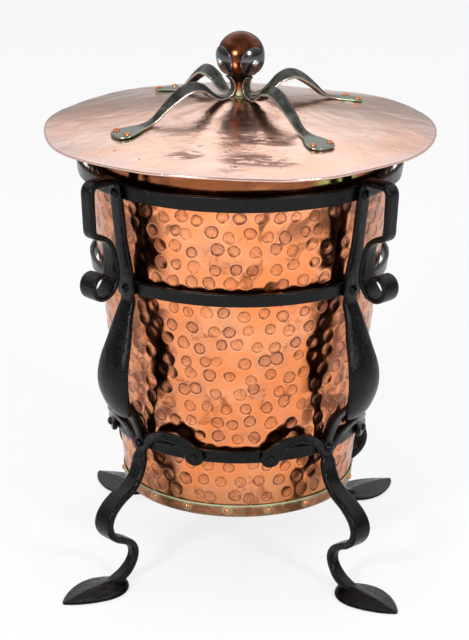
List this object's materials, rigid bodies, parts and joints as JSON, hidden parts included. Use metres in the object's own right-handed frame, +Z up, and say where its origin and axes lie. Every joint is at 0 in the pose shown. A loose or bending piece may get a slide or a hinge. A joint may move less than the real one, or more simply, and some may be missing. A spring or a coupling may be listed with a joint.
{
  "type": "coal bin",
  "caption": "Tapered hammered copper coal bucket in a forged iron cradle with scroll brackets and leaf feet, with a lift-off lid that an octopus figure serves as handle.",
  "frame": {"origin": "on the floor, midway between the feet and below the middle of the bucket", "axes": "+Z up along the axis of the bucket; the front, which the octopus faces but for a small turn, is towards -Y; +X is to the viewer's right"},
  "size_m": [0.422, 0.422, 0.5904],
  "materials": {
    "black_iron": "gloss black paint over forged, lightly pitted iron",
    "hammered_copper": "polished hammered copper with round hammer marks, browned round each mark and towards the base",
    "aged_copper": "browned copper with green verdigris along seams and round rivets",
    "lid_copper": "polished pale copper, planished by hand, tarnished towards the rim",
    "rivet_copper": "polished red copper",
    "dark_copper": "deep brown patinated copper, polished",
    "verdigris_copper": "copper crusted with verdigris",
    "tentacle_steel": "dull grey forged steel with polished edges",
    "bright_steel": "polished steel",
    "steel_hardware": "plain steel, out of sight below the lid"
  },
  "bodies": {
    "stand": {"hoop_top": "black_iron", "hoop_middle": "black_iron", "hoop_bottom": "black_iron", "upright_front_left": "black_iron", "upright_front_right": "black_iron", "upright_rear_left": "black_iron", "upright_rear_right": "black_iron", "leg_front_left": "black_iron", "leg_front_right": "black_iron", "leg_rear_left": "black_iron", "leg_rear_right": "black_iron", "hoop_top_rivets": "black_iron", "hoop_middle_rivets": "black_iron", "prong_rivets": "black_iron", "disc_rivets": "black_iron"},
    "bucket": {"bin_wall": "hammered_copper", "bin_base": "aged_copper", "bin_bead": "aged_copper", "base_rivets": "aged_copper"},
    "lid": {"lid_plate": "lid_copper", "lid_skirt": "lid_copper", "tentacle_front_left": "tentacle_steel", "tentacle_front_right": "tentacle_steel", "tentacle_rear_left": "tentacle_steel", "tentacle_rear_right": "tentacle_steel", "tentacle_rivets": "rivet_copper", "octopus_head": "dark_copper", "eye_left": "bright_steel", "eye_right": "bright_steel", "pupil_left": "bright_steel", "pupil_right": "bright_steel", "neck_washer": "verdigris_copper", "handle_rod": "steel_hardware", "rod_washer": "steel_hardware", "rod_nut": "steel_hardware"}
  },
  "joints": [
    {"name": "bucket_lift", "type": "slide", "parent": "stand", "child": "bucket", "axis": [0, 0, 1], "range_m": [0, 0.42]},
    {"name": "lid_lift", "type": "slide", "parent": "bucket", "child": "lid", "axis": [0, 0, 1], "range_m": [0, 0.2]}
  ]
}
